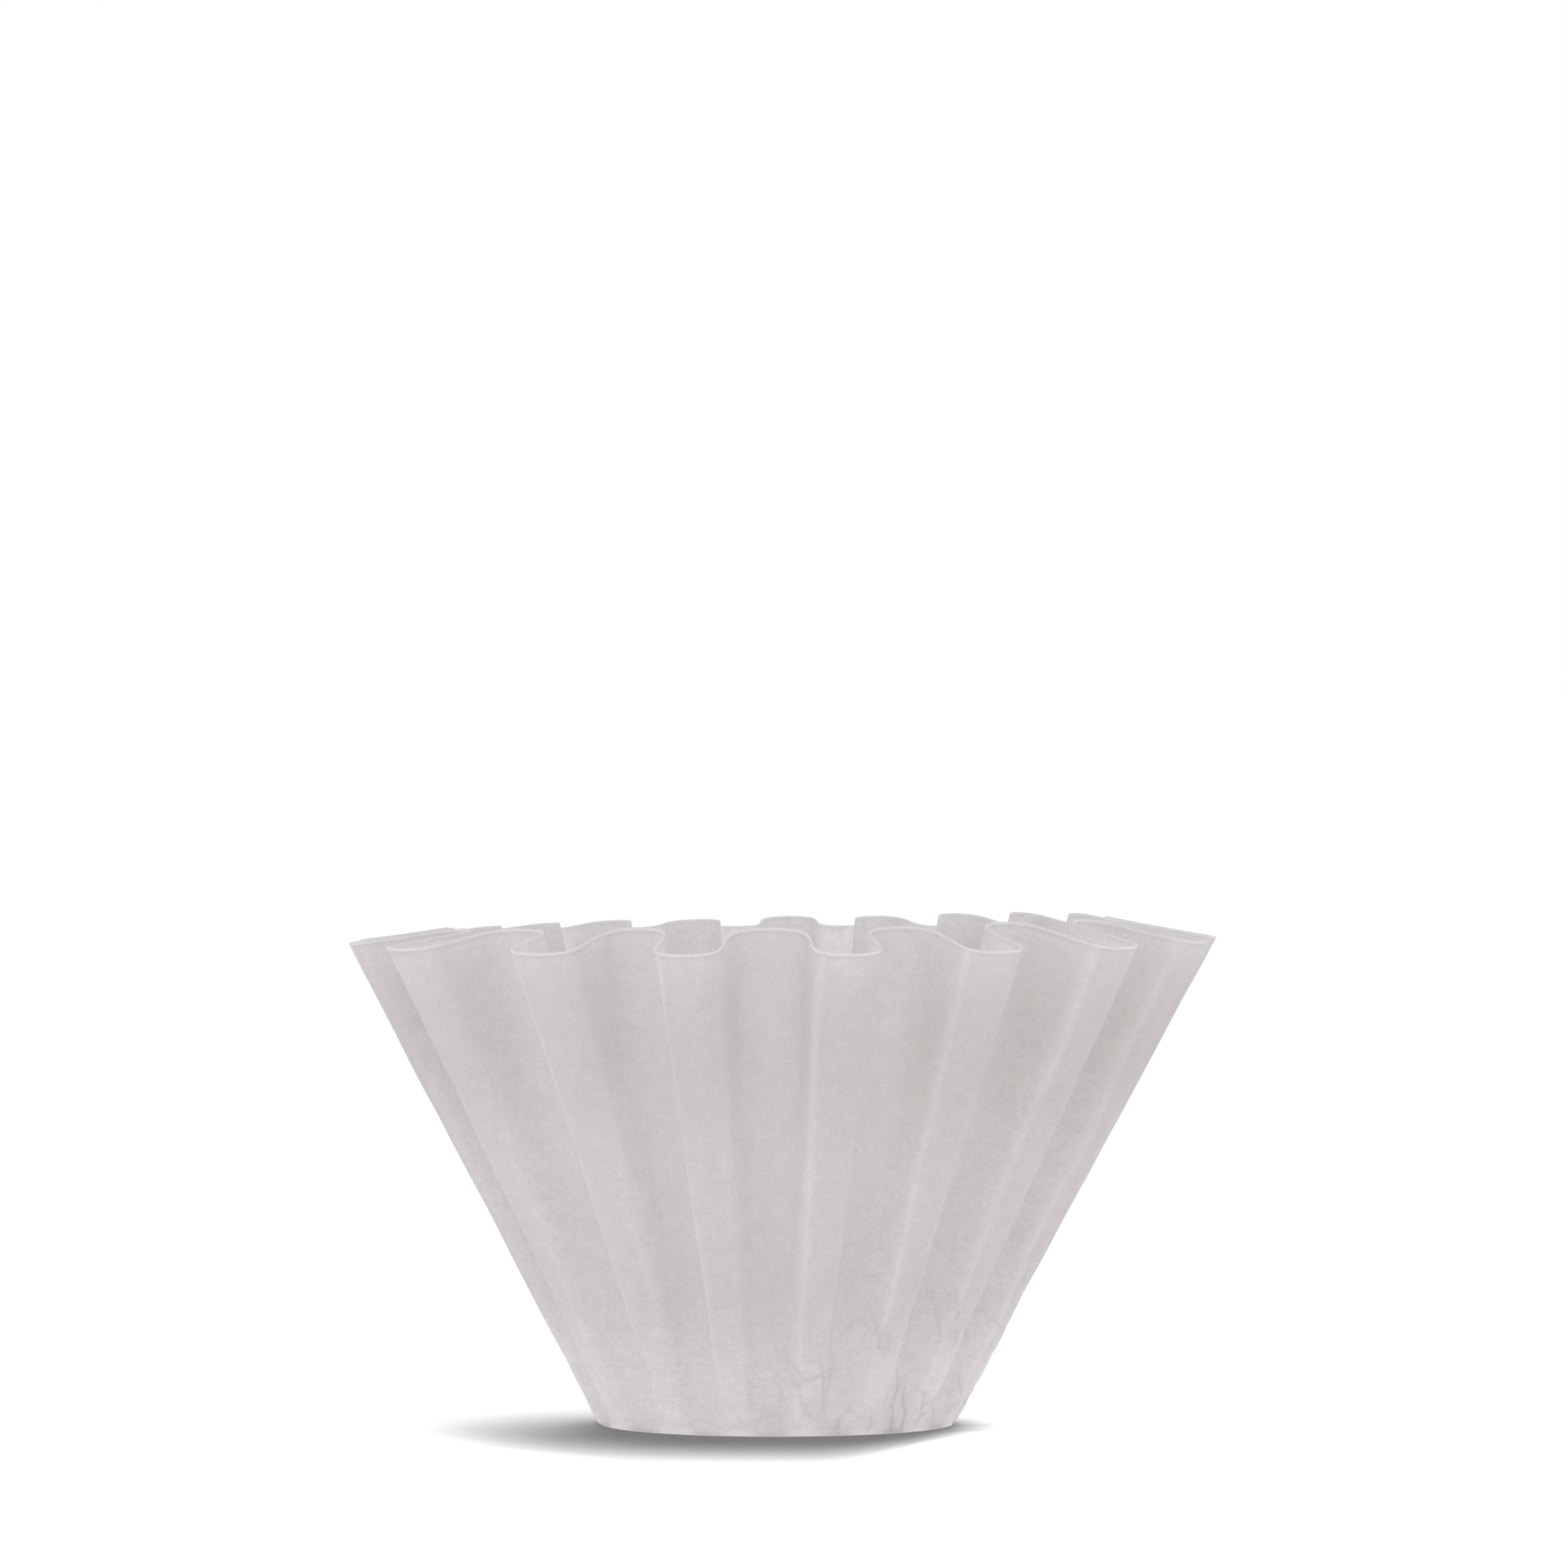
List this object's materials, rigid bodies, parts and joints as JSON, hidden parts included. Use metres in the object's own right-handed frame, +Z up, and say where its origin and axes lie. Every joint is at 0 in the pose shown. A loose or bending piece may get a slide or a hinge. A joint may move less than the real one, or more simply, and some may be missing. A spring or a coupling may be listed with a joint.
{
  "type": "coffee filter",
  "caption": "Disposable flat-floored paper coffee filter: a flared, pleated cup whose rounded flutes keep it off the brewer's wall.",
  "frame": {"origin": "centre of the flat floor's underside, on the table", "axes": "+Z up out of the mouth, -Y the front as pictured, +X to the right"},
  "size_m": [0.1112, 0.1104, 0.0655],
  "materials": {
    "filter_paper": "bleached, matt, finely fibrous"
  },
  "bodies": {
    "root": {"paper_filter": "filter_paper"}
  },
  "joints": []
}
